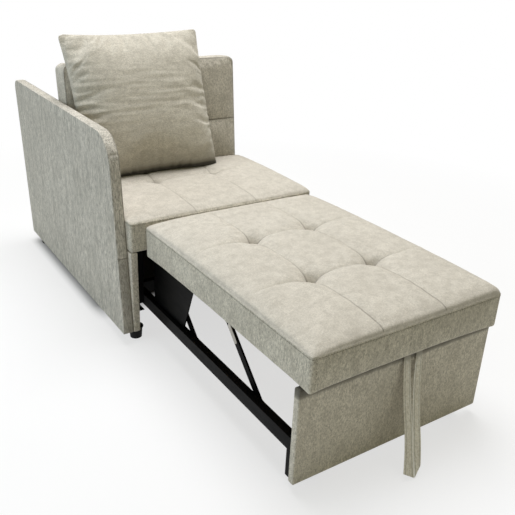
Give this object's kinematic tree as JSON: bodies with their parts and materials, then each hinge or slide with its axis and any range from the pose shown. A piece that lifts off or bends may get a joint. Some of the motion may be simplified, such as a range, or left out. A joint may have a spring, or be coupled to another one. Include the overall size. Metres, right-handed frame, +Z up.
{
  "type": "chair bed",
  "caption": "Upholstered one-armed chair bed, opened out: tufted seat, fold-down backrest, throw pillow, and a tufted bed section on lifting links that rolls out of the base.",
  "frame": {"origin": "middle of the whole object's outline, on the floor", "axes": "+Z up, the open end of the bed faces -Y, +X to the side that has no arm"},
  "size_m": [0.754, 2.043, 0.9484],
  "materials": {
    "upholstery": "soft brushed pile, beige grey",
    "pillow_cover": "soft brushed pile, beige grey",
    "timber": "plain plywood",
    "black_metal": "black powder coat",
    "bright_steel": "zinc plate",
    "black_plastic": "matte",
    "wheel_rubber": "matte"
  },
  "bodies": {
    "chair_base": {"arm_core": "timber", "arm_cover": "upholstery", "seat_deck": "timber", "seat_cushion": "upholstery", "front_post_left": "upholstery", "side_board_right": "upholstery", "rear_board": "upholstery", "deck_batten": "timber", "rear_deck": "upholstery", "guide_channel_left": "black_metal", "guide_channel_right": "black_metal", "foot_front_left": "black_plastic", "foot_rear_left": "black_plastic", "foot_front_right": "black_plastic", "foot_rear_right": "black_plastic", "hinge_base_left": "bright_steel", "hinge_base_right": "bright_steel", "hinge_pins": "bright_steel", "channel_hangers": "black_metal"},
    "backrest": {"back_cushion": "upholstery", "back_board": "timber", "back_cover": "upholstery", "hinge_arm_left": "bright_steel", "hinge_arm_right": "bright_steel"},
    "throw_pillow": {"pillow": "pillow_cover"},
    "bed_section": {"rail_left": "black_metal", "rail_right": "black_metal", "front_cross_tube": "black_metal", "rear_cross_tube": "black_metal", "front_panel": "upholstery", "panel_leg_left": "black_metal", "panel_leg_right": "black_metal", "lower_link_pins": "bright_steel", "wheel_fork_left": "black_metal", "wheel_fork_right": "black_metal", "wheel_axle_left": "bright_steel", "wheel_axle_right": "bright_steel", "glide_left": "black_plastic", "glide_right": "black_plastic", "pull_strap": "upholstery"},
    "front_links": {"front_link_left": "black_metal", "front_link_right": "black_metal", "link_end_plate_left": "bright_steel", "link_end_plate_right": "bright_steel"},
    "rear_links": {"rear_link_left": "black_metal", "rear_link_right": "black_metal"},
    "bed_platform": {"platform_board": "timber", "mattress": "upholstery", "upper_link_ears": "black_metal", "upper_link_pins": "bright_steel", "lift_plate_left": "black_metal", "lift_plate_right": "black_metal"},
    "wheel_left_body": {"wheel_tread_left": "wheel_rubber", "wheel_hub_left": "black_plastic"},
    "wheel_right_body": {"wheel_tread_right": "wheel_rubber", "wheel_hub_right": "black_plastic"}
  },
  "joints": [
    {"name": "backrest_fold", "type": "hinge", "parent": "chair_base", "child": "backrest", "pos_m": [0, 0.493, 0.3925], "axis": [-1, 0, 0], "range_deg": [0, 84.8]},
    {"name": "pillow_lift", "type": "slide", "parent": "chair_base", "child": "throw_pillow", "axis": [0, 0, 1], "range_m": [0, 0.4]},
    {"name": "section_roll", "type": "slide", "parent": "chair_base", "child": "bed_section", "axis": [0, -1, 0], "range_m": [0, 0.08]},
    {"name": "front_link_swing", "type": "hinge", "parent": "bed_section", "child": "front_links", "pos_m": [0, -0.7165, 0.132], "axis": [1, 0, 0], "range_deg": [0, 40]},
    {"name": "rear_link_swing", "type": "hinge", "parent": "bed_section", "child": "rear_links", "pos_m": [0, -0.3525, 0.132], "axis": [1, 0, 0], "range_deg": [0, 40]},
    {"name": "platform_level", "type": "hinge", "parent": "front_links", "child": "bed_platform", "pos_m": [0, -0.5365, 0.303], "axis": [1, 0, 0], "range_deg": [-40, 0]},
    {"name": "wheel_left_spin", "type": "hinge", "parent": "bed_section", "child": "wheel_left_body", "pos_m": [-0.215, -0.8855, 0.018], "axis": [1, 0, 0], "continuous": true},
    {"name": "wheel_right_spin", "type": "hinge", "parent": "bed_section", "child": "wheel_right_body", "pos_m": [0.302, -0.8855, 0.018], "axis": [1, 0, 0], "continuous": true}
  ],
  "couplings": [
    {"joint": "rear_link_swing", "follows": "front_link_swing", "ratio": 1},
    {"joint": "platform_level", "follows": "front_link_swing", "ratio": -1}
  ]
}
